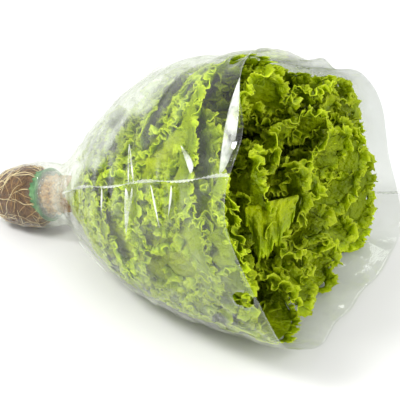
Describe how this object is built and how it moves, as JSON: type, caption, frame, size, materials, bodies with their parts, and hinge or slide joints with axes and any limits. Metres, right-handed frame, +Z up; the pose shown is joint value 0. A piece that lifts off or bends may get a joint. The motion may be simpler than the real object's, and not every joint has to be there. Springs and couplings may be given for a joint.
{
  "type": "coral lettuce in a clear sleeve",
  "caption": "Living green coral lettuce with frilled leaves, root ball, net pot and growing plug, lying on its side in a clear open film sleeve.",
  "frame": {"origin": "middle of the footprint, on the surface that the sleeve lies on", "axes": "+X from the root ball to the open mouth, +Z up, +Y to the far side"},
  "size_m": [0.3082, 0.2468, 0.2089],
  "materials": {
    "film": "clear thin polypropylene film, glossy, slightly milky where it is wet inside",
    "roots": "matted brown root fibres",
    "pot": "moulded green plastic",
    "coir": "pressed coir fibre",
    "leaf": "fresh waxy leaf, satin, lets light through"
  },
  "bodies": {
    "root": {"sleeve": "film", "root_ball": "roots", "net_pot": "pot", "growing_plug": "coir", "lettuce_head": "leaf"}
  },
  "joints": []
}
